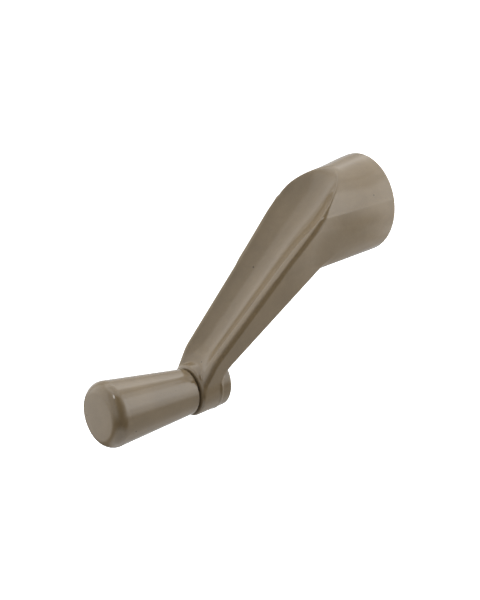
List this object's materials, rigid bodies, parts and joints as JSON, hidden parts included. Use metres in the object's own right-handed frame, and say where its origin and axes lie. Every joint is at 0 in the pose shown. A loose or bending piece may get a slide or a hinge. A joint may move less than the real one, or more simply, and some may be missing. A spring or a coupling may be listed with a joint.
{
  "type": "casement window crank handle",
  "caption": "Crank handle for a casement window operator: round leaning hub with a splined bore, fluted tapering arm and a free-turning tapered knob.",
  "frame": {"origin": "centre of the open mouth of the hub, on the axis of the splined bore", "axes": "+Z along the bore axis from the mouth toward the knob's side, +X from the hub toward the knob"},
  "size_m": [0.0588, 0.024, 0.0758],
  "materials": {
    "paint_arm": "gloss",
    "paint_knob": "gloss",
    "washer": "matte",
    "steel": "satin",
    "bronze": "satin",
    "screw_steel": "satin"
  },
  "bodies": {
    "crank": {"crank_arm": "paint_arm", "knob_spindle": "steel", "thrust_washer": "washer"},
    "grip": {"knob": "paint_knob", "knob_bush": "bronze"},
    "lock": {"set_screw": "screw_steel"}
  },
  "joints": [
    {"name": "knob_spin", "type": "hinge", "parent": "crank", "child": "grip", "pos_m": [0.039, 0, 0.0509], "axis": [0, 0, 1], "continuous": true},
    {"name": "set_screw_travel", "type": "slide", "parent": "crank", "child": "lock", "axis": [0, -1, 0], "range_m": [0, 0.0025]}
  ]
}
